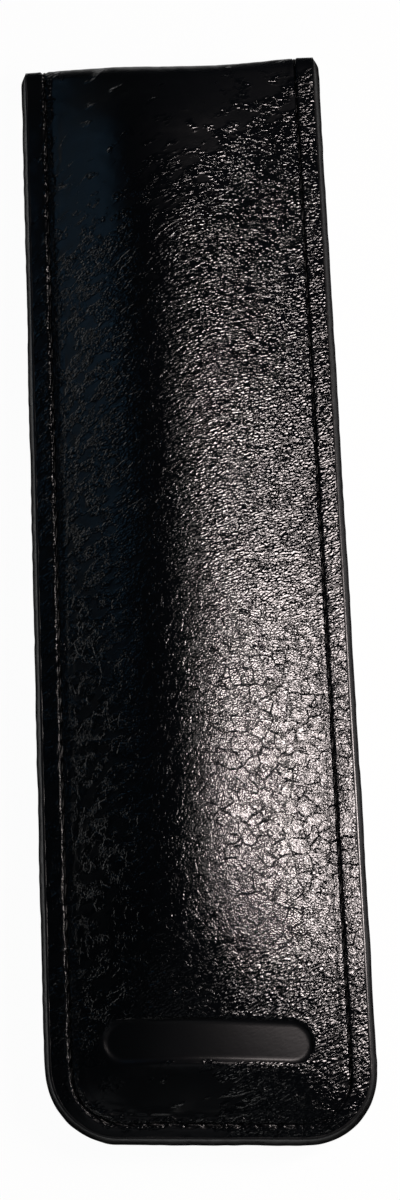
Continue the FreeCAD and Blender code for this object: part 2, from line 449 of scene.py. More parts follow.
def slack(x, y):
    """Low, wide unevenness of the leather over the pocket."""
    inside = ramp(seam_inset, seam_inset + slack_run, inset_at(x, y))
    total = 0.0
    for height, cell, seed, (ux, uy, vx, vy) in slack_waves:
        total = total + value_noise(ux * x + uy * y, vx * x + vy * y, cell, seed) * height
    return inside * total


def pebble(x, y):
    return add_waves(x, y, pebble_waves)


def front_face(x, y):
    pressed = recess_share(x, y)
    outward = recess_distance(x, y)
    rim = np.exp(-(((outward - recess_rim_at) / recess_rim_half) ** 2)) * recess_rim
    rise = front_rise(x, y)
    levelled = front_rise(x, recess_from_bottom - half_length + 0 * y) - rise
    near = 1 - ramp(recess_start, recess_reach, outward)
    z = front_margin + rise + recess_level * near * levelled - lip_drop(x, y)
    z = z - edge_fall_height * edge_share(x, y) - seam_groove(x, y) - seam_drop(x, y)
    z = z - recess_depth * pressed + rim * (1 - pressed)
    z = z + slack(x, y) * (1 - pressed_slack * pressed)
    return z + (pebble(x, y) + seam_ripple(x, y)) * (1 - pressed_pebble * pressed)


def front_under(depth_at):
    def height(x, y):
        fall = edge_fall_height * edge_share(x, y) * under_fall_share
        return front_margin + front_rise(x, y) - fall - depth_at(x, y) * stretch(front_rise, x, y)

    return height


def back_face(x, y):
    z = back_belly - back_drop(x, y)
    flat = ramp(rest_flat_share, 1.0, back_drop(x, y) / back_belly)
    z = z - back_edge_fall * edge_share(x, y) + seam_groove(x, y)
    z = z + pebble(x, y) * (1 - flat)
    return np.maximum(z, 0.0)


def back_over(depth_at):
    def height(x, y):
        fall = edge_fall_height * edge_share(x, y) * under_fall_share
        return back_belly - back_drop(x, y) - fall + depth_at(x, y) * stretch(back_drop, x, y)

    return height


def level(depth):
    return lambda x, y: depth + 0 * x


def panel_depth(scoop):
    """Doubled leather where it is turned over at the mouth."""

    def depth(x, y):
        below = mouth_y - scoop * arch(x) - y
        return between(hem_under, leather, ramp(hem_depth - hem_fade, hem_depth, below))

    return depth


# Meshes


def new_object(name, vertices, faces):
    mesh = bpy.data.meshes.new(name)
    mesh.from_pydata((np.asarray(vertices) * MM).tolist(), [], faces)
    mesh.update()
    mesh.polygons.foreach_set("use_smooth", [True] * len(mesh.polygons))
    obj = bpy.data.objects.new(name, mesh)
    bpy.context.scene.collection.objects.link(obj)
    return obj


def outward_faces(obj):
    work = bmesh.new()
    work.from_mesh(obj.data)
    bmesh.ops.recalc_face_normals(work, faces=work.faces)
    work.to_mesh(obj.data)
    work.free()


def grid_faces(grid):
    corners = [grid[:-1, :-1], grid[1:, :-1], grid[1:, 1:], grid[:-1, 1:]]
    return np.stack([corner.ravel() for corner in corners], 1).tolist()


def band_offsets(width, count):
    """Steps across the margin, closer together at the seam."""
    shares = np.linspace(0.0, 1.0, count + 1)
    centre = (band_inset - seam_inset) / width
    crowd = np.sin(2 * np.pi * (shares - centre)) * np.sin(np.pi * shares)
    crowded = np.maximum.accumulate(shares - seam_crowding * crowd)
    return (crowded[1:] / crowded[-1]) * width


def around_field(rows, columns):
    """Rows and columns of the field's border: down the left side, along the closed end, up the right."""
    row = np.concatenate([np.arange(rows + 1), np.full(columns - 1, rows), np.arange(rows, -1, -1)])
    column = np.concatenate([np.zeros(rows + 1, int), np.arange(1, columns), np.full(rows + 1, columns)])
    return row, column


def side_sheet(name, top, under, drop, scoop, lip_radius, step, up=1):
    """Closed sheet of one side: a fine face, a rolled mouth edge, a coarse inner face and cut edges."""
    fine = step < fine_limit
    across = fine_band_steps if fine else plain_band_steps
    roll_count = fine_roll_steps if fine else plain_roll_steps
    lip_y = mouth_y - drop - lip_radius
    rows_straight = int(math.ceil((lip_y - corner_y) / step / inner_every)) * inner_every
    rows_corner = 2 * inner_every
    rows = rows_straight + rows_corner
    columns = int(math.ceil(2 * (half_width - band_inset) / step / inner_every)) * inner_every
    inner_radius = corner_radius - band_inset

    angle = np.concatenate([np.zeros(rows_straight), np.linspace(0, np.pi / 2, rows_corner + 1)])
    straight_y = np.linspace(lip_y, corner_y, rows_straight + 1)[:-1]
    row_y = np.concatenate([straight_y, corner_y - inner_radius * np.sin(angle[rows_straight:])])
    row_half = np.full(rows + 1, half_width - band_inset)
    row_half[rows_straight:] = corner_x + inner_radius * np.cos(angle[rows_straight:])
    scoop_share = scoop * (1 - ease((lip_y - row_y) / scoop_run))

    share = np.linspace(-1, 1, columns + 1)
    field_x = row_half[:, None] * share[None, :]
    field_y = row_y[:, None] - scoop_share[:, None] * arch(field_x)

    chain_row, chain_column = around_field(rows, columns)
    in_bottom = (chain_column > 0) & (chain_column < columns)
    chain_angle = np.where(in_bottom, np.pi / 2, angle[chain_row])
    side = np.where(chain_column < columns, -1.0, 1.0)
    side = np.where(in_bottom, 0.0, side)
    width = np.full(len(chain_row), band_inset - cut_inset)
    near_top = np.clip(mouth_corner - (lip_y + lip_radius - row_y[chain_row]), 0.0, mouth_corner)
    width -= mouth_corner - np.sqrt(mouth_corner**2 - near_top**2)
    offsets = band_offsets(band_inset - cut_inset, across) / (band_inset - cut_inset)
    out_x = side * np.cos(chain_angle)
    out_y = -np.sin(chain_angle)
    reach = width[:, None] * offsets[None, :]
    band_x = field_x[chain_row, chain_column][:, None] + out_x[:, None] * reach
    band_y = row_y[chain_row][:, None] + out_y[:, None] * reach
    band_y = band_y - scoop_share[chain_row][:, None] * arch(band_x)

    vertices = []
    count = 0

    def add(x, y, z):
        nonlocal count
        vertices.append(np.stack([x.ravel(), y.ravel(), z.ravel()], 1))
        index = np.arange(count, count + x.size).reshape(x.shape)
        count += x.size
        return index

    field = add(field_x, field_y, top(field_x, field_y))
    band = add(band_x, band_y, top(band_x, band_y))

    # Mouth edge rolled over from the outer face to the inner one
    lip_x = np.concatenate([band_x[0, ::-1], field_x[0], band_x[-1]])
    lip_line_y = np.concatenate([band_y[0, ::-1], field_y[0], band_y[-1]])
    lip_index = np.concatenate([band[0, ::-1], field[0], band[-1]])
    lip_z = top(lip_x, lip_line_y)
    h = lip_slope_step
    slope_x = (top(lip_x + h, lip_line_y) - top(lip_x - h, lip_line_y)) / (2 * h)
    slope_y = (top(lip_x, lip_line_y) - top(lip_x, lip_line_y - h)) / h
    normal = np.stack([-slope_x, -slope_y, np.ones_like(slope_x)], 1) * up
    normal /= np.linalg.norm(normal, axis=1)[:, None]
    line = np.stack([lip_x, lip_line_y, lip_z], 1)
    forward = np.cross(normal, np.gradient(line, axis=0)) * up
    forward /= np.linalg.norm(forward, axis=1)[:, None]
    roll_rows = [lip_index]
    for m in range(1, roll_count + 1):
        phi = np.pi * m / roll_count
        around = normal * (math.cos(phi) - 1) + forward * math.sin(phi)
        point = line + lip_radius * around
        roll_rows.append(add(point[:, 0], point[:, 1], point[:, 2]))

    # Inner face, from every few rows of the outer one
    coarse_rows = np.arange(inner_every, rows + 1, inner_every)
    inner_x = field_x[coarse_rows]
    inner_y = field_y[coarse_rows]
    inner_field = add(inner_x, inner_y, under(inner_x, inner_y))
    end_chain = np.arange(rows + 1, rows + columns)
    chain_keep = np.concatenate([coarse_rows, end_chain, rows + columns + rows - coarse_rows[::-1]])
    inner_x = band_x[chain_keep]
    inner_y = band_y[chain_keep]
    inner_band = add(inner_x, inner_y, under(inner_x, inner_y))
    last = roll_rows[-1]
    inner_field = np.vstack([last[across : across + columns + 1], inner_field])
    inner_band = np.vstack([last[:across][::-1], inner_band, last[across + columns + 1 :]])

    inner_rows = len(coarse_rows)
    inner_chain = around_field(inner_rows, columns)
    faces = grid_faces(field)
    faces += grid_faces(np.hstack([field[chain_row, chain_column][:, None], band]))
    faces += grid_faces(np.vstack(roll_rows))
    faces += grid_faces(inner_field)
    faces += grid_faces(np.hstack([inner_field[inner_chain][:, None], inner_band]))

    # Cut edges, where the fine rows of the outer face meet the coarse ones of the inner
    edge = band[:, -1].tolist()
    inner_edge = inner_band[:, -1].tolist()
    for first, low_first in ((0, 0), (rows + columns, inner_rows + columns)):
        for u in range(inner_rows):
            start = first + u * inner_every
            one = inner_edge[low_first + u]
            two = inner_edge[low_first + u + 1]
            middle = start + inner_every // 2
            faces += [[edge[m], edge[m + 1], one] for m in range(start, middle)]
            faces.append([one, edge[middle], two])
            faces += [[edge[m], edge[m + 1], two] for m in range(middle, start + inner_every)]
    for i in range(columns):
        a = rows + i
        b = inner_rows + i
        faces.append([edge[a], edge[a + 1], inner_edge[b + 1], inner_edge[b]])
    faces.append([int(row[0]) for row in roll_rows])
    faces.append([int(row[-1]) for row in roll_rows])

    obj = new_object(name, np.vstack(vertices), faces)
    outward_faces(obj)
    return obj


def set_attribute(obj, name, values):
    attribute = obj.data.attributes.new(name, "FLOAT", "POINT")
    attribute.data.foreach_set("value", np.asarray(values, np.float32))


def vertex_places(obj):
    flat = np.zeros(len(obj.data.vertices) * 3)
    obj.data.vertices.foreach_get("co", flat)
    return flat.reshape(-1, 3) / MM


def thread_tube(name, line, closed=False):
    """Twisted thread along a line of points."""
    line = np.asarray(line)
    if closed:
        ahead = np.roll(line, -1, 0)
        behind = np.roll(line, 1, 0)
    else:
        ahead = np.vstack([line[1:], 2 * line[-1] - line[-2]])
        behind = np.vstack([2 * line[0] - line[1], line[:-1]])
    heading = ahead - behind
    heading /= np.linalg.norm(heading, axis=1)[:, None]
    length = np.concatenate([[0.0], np.cumsum(np.linalg.norm(np.diff(line, axis=0), axis=1))])
    sideways = np.zeros_like(heading)
    off_axis = (0.3, 0.2, 0.93)
    frame_side = np.cross(heading[0], off_axis)
    for k in range(len(line)):
        frame_side = frame_side - heading[k] * np.dot(frame_side, heading[k])
        frame_side /= np.linalg.norm(frame_side)
        sideways[k] = frame_side
    upward = np.cross(heading, sideways)
    angle = np.linspace(0, 2 * np.pi, thread_sides, endpoint=False)
    turn = length[:, None] / ply_turn * 2 * np.pi
    radius = sewn_radius * (1 - ply_depth + ply_depth * np.cos(ply_count * (angle[None, :] - turn)))
    rings = (
        line[:, None, :]
        + radius[:, :, None] * np.cos(angle)[None, :, None] * sideways[:, None, :]
        + radius[:, :, None] * np.sin(angle)[None, :, None] * upward[:, None, :]
    )
    index = np.arange(len(line) * thread_sides).reshape(len(line), thread_sides).tolist()
    pairs = [(k, k + 1) for k in range(len(line) - 1)]
    if closed:
        pairs.append((len(line) - 1, 0))
    faces = []
    for one, two in pairs:
        for m in range(thread_sides):
            n = (m + 1) % thread_sides
            faces.append([index[one][m], index[one][n], index[two][n], index[two][m]])
    if not closed:
        faces.append(index[0][::-1])
        faces.append(index[-1])
    obj = new_object(name, rings.reshape(-1, 3), faces)
    outward_faces(obj)
    return obj


def seam_line(up):
    """Run of one thread over the stitches and down into each needle hole."""
    points = []
    rng = np.random.default_rng(needle_seed if up > 0 else bobbin_seed)
    margin = front_margin if up > 0 else back_belly
    for start, end in zip(places[:-1], places[1:]):
        heading = (end - start) / np.linalg.norm(end - start)
        aside = np.array([-heading[1], heading[0]])
        slant = stitch_slant + stitch_uneven * rng.standard_normal()
        rise = stitch_uneven * rng.standard_normal()
        for m in range(stitch_points):
            u = m / stitch_points
            off = 2 * (u - 0.5)
            plan = start + (end - start) * between(stitch_gap, 1 - stitch_gap, u) - aside * slant * off
            run = thread_proud - thread_radius - thread_sink + rise * (1 - abs(off))
            depth = (run + hole_depth) * (1 - abs(off) ** stitch_square) - hole_depth
            points.append([plan[0], plan[1], margin + up * depth])
    return points


def mouth_loop(hole):
    """Closed turn of thread through the end hole and over the mouth edge."""
    inner = hole[1] + wrap_hole_rise + wrap_bend
    outer = half_length - thread_radius - wrap_mouth_gap - wrap_bend
    low = back_belly - thread_proud + thread_radius + wrap_bend
    high = front_margin + thread_proud - thread_radius - wrap_sink - wrap_bend
    corners = [(outer, high, 90), (outer, low, 0), (inner, low, -90), (inner, high, -180)]
    points = []
    for cy, cz, first in corners:
        for turn in np.radians(np.linspace(first, first - 90, wrap_bend_points)):
            points.append([hole[0], cy + wrap_bend * math.cos(turn), cz + wrap_bend * math.sin(turn)])
    dense = []
    for k in range(len(points)):
        one = np.array(points[k])
        two = np.array(points[(k + 1) % len(points)])
        count = max(int(np.linalg.norm(two - one) / wrap_point_gap), 1)
        for m in range(count):
            dense.append(one + (two - one) * m / count)
    return dense


def edge_bead(name):
    """Smooth painted edge: a rounded rim over the cut side that laps on to both faces."""
    base = half_width - bead_width
    end_width = bead_width * bead_narrow_end
    left = [(-base, y, -1.0, 0.0) for y in np.arange(mouth_y - bead_end_drop, corner_y, -bead_step)]
    turn = []
    for a in np.linspace(0, np.pi / 2, bead_turn_points):
        radius = corner_radius - between(bead_width, end_width, ramp(0.0, np.pi / 2, a))
        out_x = -math.cos(a)
        out_y = -math.sin(a)
        turn.append((-corner_x + radius * out_x, corner_y + radius * out_y, out_x, out_y))
    end_x = np.arange(-corner_x + bead_step, 0.0, bead_step)
    half = left + turn + [(x, -half_length + end_width, 0.0, -1.0) for x in end_x]
    other = [(-x, y, -nx, ny) for x, y, nx, ny in half[::-1]]
    px, py, nx, ny = np.array(half + other).T
    length = np.concatenate([[0.0], np.cumsum(np.hypot(np.diff(px), np.diff(py)))])
    swell = 1 + add_waves(length, 0 * length, swell_waves)
    ends = np.minimum(length, length[-1] - length)
    narrow = np.sqrt(1 - bead_end_close * (1 - np.clip(ends / bead_end_run, 0.0, 1.0)) ** 2)
    narrow = narrow * between(1.0, bead_narrow_end, round_corner(px, py))
    lap_start = lap_places[-1]
    sinks = [lap_sink * (s - lap_start) / (1 - lap_start) for s in lap_places]
    lap = [(-coat_overlap * s, bead_lift - sink, 1.0) for s, sink in zip(lap_places, sinks)]
    steps = np.array([width for width, angle in rim_steps])
    falls = steps * np.tan(np.radians([angle for width, angle in rim_steps]))
    reach = np.concatenate([[0.0], np.cumsum(steps) / steps.sum()])
    heights = 1 - np.concatenate([[0.0], np.cumsum(falls) / falls.sum()])
    profile = lap + [(bead_width * u, bead_lift, v) for u, v in zip(reach, heights)]
    profile = [(*p, 1) for p in profile] + [(*p, -1) for p in profile[:-1][::-1]]
    rings = []
    for out, lift, height, side in profile:
        lapx = px + nx * min(out, 0.0)
        lapy = py + ny * min(out, 0.0)
        fall = edge_share(lapx, lapy)
        front_z = front_margin - seam_step * held_at_mouth(lapy) - edge_fall_height * fall
        front_z = front_z - lip_drop(lapx, lapy)
        back_z = back_belly - back_edge_fall * fall
        middle = (front_z + back_z) / 2
        half_height = (front_z - back_z) / 2 + lift
        x = lapx + nx * max(out, 0.0) * swell * narrow
        y = lapy + ny * max(out, 0.0) * swell * narrow
        rings.append(np.stack([x, y, middle + side * half_height * height], 1))
    grid = np.stack(rings, 1)
    index = np.arange(grid.shape[0] * grid.shape[1]).reshape(grid.shape[:2])
    faces = grid_faces(index)
    faces += np.stack([index[:-1, 0], index[:-1, -1], index[1:, -1], index[1:, 0]], 1).tolist()
    faces.append(index[0].tolist())
    faces.append(index[-1].tolist())
    obj = new_object(name, grid.reshape(-1, 3), faces)
    outward_faces(obj)
    return obj


def inner_layers(name, top, under, drop):
    """Front and back sheet of one of the layers inside the leather."""
    radius = (under - top) / 2
    made_front = side_sheet(
        "front_" + name,
        front_under(level(top)),
        front_under(level(under)),
        drop,
        mouth_scoop,
        radius,
        wide_step,
    )
    made_back = side_sheet(
        "back_" + name, back_over(level(top)), back_over(level(under)), drop, 0.0, radius, wide_step, up=-1
    )
    return made_front, made_back


front = side_sheet(
    "front_leather",
    front_face,
    front_under(panel_depth(mouth_scoop)),
    0.0,
    mouth_scoop,
    hem_under / 2,
    fine_step,
)
back = side_sheet(
    "back_leather", back_face, back_over(panel_depth(0.0)), 0.0, 0.0, hem_under / 2, plain_step, up=-1
)
front_cloth, back_cloth = inner_layers("lining_cloth", lining_top, lining_under, lining_drop)
front_board, back_board = inner_layers("board", interlining_top, interlining_under, board_drop)
bead = edge_bead("painted_edge")
needle = thread_tube("needle_stitches", seam_line(1))
bobbin = thread_tube("bobbin_stitches", seam_line(-1))
wrap_left = thread_tube("mouth_turn_left", mouth_loop(places[0]), closed=True)
wrap_right = thread_tube("mouth_turn_right", mouth_loop(places[-1]), closed=True)

# Where the leather is smoother, drawn out or puckered
lip_smooth_run = (3.0, 37.0)
lip_smooth_lean = 0.8
near_lip_run = (1.0, 7.0)
corner_smooth_y = (-74.0, -60.0)
corner_smooth_x = (-3.0, 8.0)
left_smooth = 0.5
left_smooth_x = (-14.0, -1.0)
margin_smooth = 0.6
margin_smooth_y = (-77.0, -67.0)
margin_smooth_x = (13.0, 19.0)
lip_run = (0.5, 4.0)
drawn_mouth_y = (-30.0, 25.0)
drawn_end_y = (-62.0, -50.0)
sewn_at = 0.3
sewn_reach = 0.95
sewn_grain = 0.8
sewn_tight = 0.25
below_recess_pucker = 0.3
below_recess_x = (0.0, 8.0)
below_recess_y = (-71.0, -67.0)
below_recess_inward = (2.0, 4.5)

for panel in (front, back):
    px, py = vertex_places(panel)[:, :2].T
    scoop = mouth_scoop if panel is front else 0.0
    pressed = recess_share(px, py) if panel is front else np.zeros(len(px))
    from_lip = mouth_y - scoop * arch(px) - py
    inward = inset_at(px, py) - seam_inset_at(px, py)
    loose = loose_seam(px)
    beside_seam = np.exp(-(((inward - sewn_at) / sewn_reach) ** 2))
    smoothed = 1 - ramp(*lip_smooth_run, from_lip + lip_smooth_lean * px)
    for share in (
        1 - ramp(*near_lip_run, from_lip),
        (1 - ramp(*corner_smooth_y, py)) * (1 - ramp(*corner_smooth_x, px)),
        left_smooth * (1 - ramp(*left_smooth_x, px)),
        margin_smooth * (1 - ramp(*margin_smooth_y, py)) * ramp(*margin_smooth_x, px),
    ):
        smoothed = np.maximum(smoothed, share)
    below_recess = below_recess_pucker * ramp(*below_recess_x, px) * (1 - ramp(*below_recess_y, py))
    below_recess = below_recess * ramp(*below_recess_inward, inward)
    puckered = beside_seam * between(sewn_tight, 1.0, loose)
    set_attribute(panel, "pressed", pressed)
    set_attribute(panel, "smoothed", smoothed * (1 - sewn_grain * beside_seam * loose))
    set_attribute(panel, "lip", 1 - ramp(*lip_run, from_lip))
    set_attribute(panel, "drawn", np.maximum(ramp(*drawn_mouth_y, py), 1 - ramp(*drawn_end_y, py)))
    set_attribute(panel, "sewn", np.maximum(puckered, below_recess))


# Materials


# Range in which most values of a noise lie
noise_range = (0.3, 0.7)
none_to_all = (0.0, 1.0)
all_to_none = (1.0, 0.0)


def material(name):
    made = bpy.data.materials.new(name)
    made.use_nodes = True
    tree = made.node_tree
    tree.nodes.clear()
    out = tree.nodes.new("ShaderNodeOutputMaterial")
    shader = tree.nodes.new("ShaderNodeBsdfPrincipled")
    tree.links.new(shader.outputs["BSDF"], out.inputs["Surface"])
    return made, tree, shader


def node(tree, kind, **settings):
    made = tree.nodes.new(kind)
    for key, value in settings.items():
        setattr(made, key, value)
    return made


def fill(tree, socket, value):
    if isinstance(value, (int, float)):
        socket.default_value = value
    else:
        tree.links.new(value, socket)


def math_node(tree, operation, first, second=None, clamp=False):
    made = node(tree, "ShaderNodeMath", operation=operation, use_clamp=clamp)
    fill(tree, made.inputs[0], first)
    if second is not None:
        fill(tree, made.inputs[1], second)
    return made.outputs[0]


def times(tree, first, second):
    return math_node(tree, "MULTIPLY", first, second)


def spread(tree, value, given, wanted, smooth=True):
    made = node(tree, "ShaderNodeMapRange", interpolation_type="SMOOTHSTEP" if smooth else "LINEAR")
    tree.links.new(value, made.inputs["Value"])
    made.inputs["From Min"].default_value = given[0]
    made.inputs["From Max"].default_value = given[1]
    made.inputs["To Min"].default_value = wanted[0]
    made.inputs["To Max"].default_value = wanted[1]
    return made.outputs["Result"]


def blend_values(tree, share, first, second):
    made = node(tree, "ShaderNodeMix", data_type="FLOAT")
    tree.links.new(share, made.inputs[0])
    fill(tree, made.inputs[2], first)
    fill(tree, made.inputs[3], second)
    return made.outputs[0]


def two_tones(tree, shader, share, first, second):
    """Base colour that changes from one tone to another."""
    made = node(tree, "ShaderNodeMix", data_type="RGBA")
    tree.links.new(share, made.inputs[0])
    first_tone = made.inputs[6]
    second_tone = made.inputs[7]
    first_tone.default_value = (*first, 1)
    second_tone.default_value = (*second, 1)
    tree.links.new(made.outputs[2], shader.inputs["Base Color"])


def vary_roughness(tree, shader, value, wanted):
    tree.links.new(spread(tree, value, noise_range, wanted, smooth=False), shader.inputs["Roughness"])


def millimetres(tree, length=(1.0, 1.0, 1.0), turn=0.0):
    """Object coordinates in millimetres, turned and then drawn out along the turned axes."""
    place = node(tree, "ShaderNodeTexCoord")
    mapping = node(tree, "ShaderNodeMapping", vector_type="TEXTURE")
    mapping.inputs["Scale"].default_value = [s * MM for s in length]
    mapping.inputs["Rotation"].default_value = (0.0, 0.0, turn)
    tree.links.new(place.outputs["Object"], mapping.inputs["Vector"])
    return mapping.outputs["Vector"]


def noise_node(tree, vector, size, detail=2.0, rough=0.5):
    made = node(tree, "ShaderNodeTexNoise")
    made.inputs["Scale"].default_value = 1.0 / size
    made.inputs["Detail"].default_value = detail
    made.inputs["Roughness"].default_value = rough
    tree.links.new(vector, made.inputs["Vector"])
    return made


def noise(tree, vector, size, detail=2.0, rough=0.5):
    return noise_node(tree, vector, size, detail, rough).outputs["Fac"]


def warped(tree, vector, size, amount):
    shift = noise_node(tree, vector, size)
    middle = node(tree, "ShaderNodeVectorMath", operation="SUBTRACT")
    tree.links.new(shift.outputs["Color"], middle.inputs[0])
    middle.inputs[1].default_value = (0.5, 0.5, 0.5)
    scaled = node(tree, "ShaderNodeVectorMath", operation="SCALE")
    tree.links.new(middle.outputs[0], scaled.inputs[0])
    scaled.inputs["Scale"].default_value = amount
    added = node(tree, "ShaderNodeVectorMath", operation="ADD")
    tree.links.new(vector, added.inputs[0])
    tree.links.new(scaled.outputs[0], added.inputs[1])
    return added.outputs[0]


def attribute(tree, name):
    return node(tree, "ShaderNodeAttribute", attribute_name=name).outputs["Fac"]


def bump(tree, shader, height, distance):
    made = node(tree, "ShaderNodeBump")
    made.inputs["Distance"].default_value = distance * MM
    made.inputs["Strength"].default_value = 1.0
    tree.links.new(height, made.inputs["Height"])
    tree.links.new(made.outputs["Normal"], shader.inputs["Normal"])


def crease_lines(tree, vector, size, half, gap_size, presence):
    """Thin broken lines between cells: 1 on a line and 0 on the flat of a cell."""
    gap_range = (0.36, 0.62)
    cells = node(tree, "ShaderNodeTexVoronoi", feature="DISTANCE_TO_EDGE")
    cells.inputs["Scale"].default_value = 1.0 / size
    cells.inputs["Randomness"].default_value = 1.0
    tree.links.new(vector, cells.inputs["Vector"])
    line = spread(tree, cells.outputs["Distance"], (0.0, half / size), all_to_none, smooth=False)
    there = spread(tree, noise(tree, vector, gap_size, detail=1.0), gap_range, presence)
    return times(tree, line, there)


def leather_material():
    """Black leather: small flat-topped cells between thin uneven creases, finer crinkles and a fine grit."""
    drawn_scale = (1.9, 0.8, 1.0)
    drawn_turn = math.radians(24)
    patch_share = 0.6
    drawn_range = (0.5, 1.0)
    smooth_cut = 0.45
    pressed_cut = 0.2
    keep_range = (0.16, 0.34)
    least_keep = 0.05
    crease_depth = 0.062
    round_grit_height = 0.056
    long_grit_height = 0.13
    most_pucker = 2.2
    rough_cell_to_crease = (0.1, 0.13)
    rough_uneven = (-0.02, 0.02)
    rough_smooth = 0.3
    rough_lip = 0.26
    rough_pressed = 0.38

    made, tree, shader = material("black_pebbled_leather")
    plain = millimetres(tree)
    long_plain = millimetres(tree, drawn_scale, drawn_turn)
    round_space = warped(tree, warped(tree, plain, size=1.6, amount=0.8), size=0.45, amount=0.22)
    long_space = warped(tree, warped(tree, long_plain, size=1.6, amount=0.8), size=0.45, amount=0.25)
    fine_space = warped(tree, plain, size=0.5, amount=0.3)
    round_line = crease_lines(tree, round_space, size=1.9, half=0.15, gap_size=1.9, presence=(0.35, 1.0))
    long_line = crease_lines(tree, long_space, size=1.3, half=0.13, gap_size=2.3, presence=(0.1, 1.0))
    fine_line = crease_lines(tree, fine_space, size=0.5, half=0.07, gap_size=1.3, presence=(0.0, 0.48))
    patches = times(tree, noise(tree, plain, size=14.0, detail=1.0), patch_share)
    choice = math_node(tree, "ADD", attribute(tree, "drawn"), patches, clamp=True)
    choice = spread(tree, choice, drawn_range, none_to_all)
    line = blend_values(tree, choice, round_line, long_line)
    line = math_node(tree, "MAXIMUM", line, fine_line)

    pressed = attribute(tree, "pressed")
    flat = math_node(tree, "MAXIMUM", pressed, attribute(tree, "smoothed"))
    keep = noise(tree, long_plain, size=2.0)
    keep = math_node(tree, "SUBTRACT", keep, times(tree, flat, smooth_cut))
    keep = math_node(tree, "SUBTRACT", keep, times(tree, pressed, pressed_cut))
    keep = spread(tree, keep, keep_range, (least_keep, 1.0))
    line = times(tree, line, keep)

    round_grit = times(tree, noise(tree, plain, size=0.22, detail=0.0), round_grit_height)
    long_grit = times(tree, noise(tree, long_plain, size=0.34, detail=0.0), long_grit_height)
    grit = times(tree, blend_values(tree, choice, round_grit, long_grit), keep)
    pucker = spread(tree, attribute(tree, "sewn"), none_to_all, (1.0, most_pucker), smooth=False)
    height = math_node(tree, "ADD", times(tree, line, -crease_depth), times(tree, grit, pucker))
    bump(tree, shader, height, distance=1.0)

    rough = spread(tree, line, none_to_all, rough_cell_to_crease, smooth=False)
    uneven = spread(tree, noise(tree, plain, size=4.0, detail=3.0), noise_range, rough_uneven, smooth=False)
    rough = math_node(tree, "ADD", rough, uneven)
    rough = blend_values(tree, spread(tree, keep, (least_keep, 1.0), all_to_none), rough, rough_smooth)
    rough = blend_values(tree, attribute(tree, "lip"), rough, rough_lip)
    rough = blend_values(tree, pressed, rough, rough_pressed)
    tree.links.new(rough, shader.inputs["Roughness"])
    # Painted shade: the base colour is a little darker along the creases, where shade falls
    two_tones(tree, shader, line, (0.0011, 0.0013, 0.0018), (0.0006, 0.0007, 0.0009))
    shader.inputs["Specular IOR Level"].default_value = 0.5
    return made


def paint_material():
    speck_share = 0.25
    made, tree, shader = material("black_edge_paint")
    plain = millimetres(tree)
    drag = noise(tree, plain, size=1.1, detail=3.0)
    specks = noise(tree, plain, size=0.2)
    bump(tree, shader, math_node(tree, "ADD", drag, times(tree, specks, speck_share)), distance=0.03)
    vary_roughness(tree, shader, drag, (0.26, 0.36))
    two_tones(tree, shader, specks, (0.0015, 0.0015, 0.0017), (0.0028, 0.0028, 0.003))
    shader.inputs["Specular IOR Level"].default_value = 0.85
    return made


def thread_material():
    made, tree, shader = material("black_waxed_thread")
    plain = millimetres(tree)
    fibre = noise(tree, plain, size=0.07, detail=3.0, rough=0.6)
    wax = noise(tree, plain, size=1.3)
    bump(tree, shader, fibre, distance=0.03)
    vary_roughness(tree, shader, wax, (0.3, 0.5))
    two_tones(tree, shader, fibre, (0.0018, 0.0018, 0.002), (0.006, 0.006, 0.0064))
    shader.inputs["Sheen Weight"].default_value = 0.02
    return made


def lining_material():
    made, tree, shader = material("black_napped_lining")
    nap = noise(tree, millimetres(tree), size=0.12, detail=4.0, rough=0.65)
    brush = noise(tree, millimetres(tree, (1.0, 2.8, 1.0)), size=5.0, detail=3.0)
    bump(tree, shader, nap, distance=0.06)
    vary_roughness(tree, shader, brush, (0.8, 0.95))
    two_tones(tree, shader, times(tree, nap, brush), (0.008, 0.008, 0.009), (0.035, 0.034, 0.036))
    shader.inputs["Sheen Weight"].default_value = 0.25
    return made


def board_material():
    made, tree, shader = material("bonded_fibre_board")
    fibre = noise(tree, millimetres(tree), size=0.5, detail=4.0, rough=0.6)
    bump(tree, shader, fibre, distance=0.04)
    vary_roughness(tree, shader, fibre, (0.75, 0.9))
    two_tones(tree, shader, fibre, (0.24, 0.18, 0.12), (0.4, 0.32, 0.23))
    return made


leather_look = leather_material()
paint_look = paint_material()
thread_look = thread_material()
lining_look = lining_material()
board_look = board_material()

dressing = [
    (front, "front_panel", "outer_leather", leather_look),
    (back, "back_panel", "outer_leather", leather_look),
    (front_cloth, "front_lining", "lining", lining_look),
    (back_cloth, "back_lining", "lining", lining_look),
    (front_board, "front_interlining", "interlining", board_look),
    (back_board, "back_interlining", "interlining", board_look),
    (bead, "edge_coat", "edge_paint", paint_look),
    (needle, "needle_thread", "thread", thread_look),
    (bobbin, "bobbin_thread", "thread", thread_look),
    (wrap_left, "mouth_wrap_left", "thread", thread_look),
    (wrap_right, "mouth_wrap_right", "thread", thread_look),
]


def settle_end(obj):
    """The closed end of the sleeve is slightly out of square and sags a little towards the ground."""
    spots = vertex_places(obj)
    along_end = np.clip((end_sag_run - half_length - spots[:, 1]) / end_sag_run, 0.0, 1.0)
    spots[:, 2] -= end_sag * along_end**2 * ramp(0.0, sag_free_height, spots[:, 2])
    spots[:, 1] -= end_skew * spots[:, 0] * ease(-spots[:, 1] / end_skew_run)
    obj.data.vertices.foreach_set("co", (spots * MM).ravel())
    obj.data.update()


for piece, cad_node, slot, look in dressing:
    settle_end(piece)
    piece.data.materials.append(look)
    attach(piece, "root")
    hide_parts(cad_node)


# Floor, lights and camera


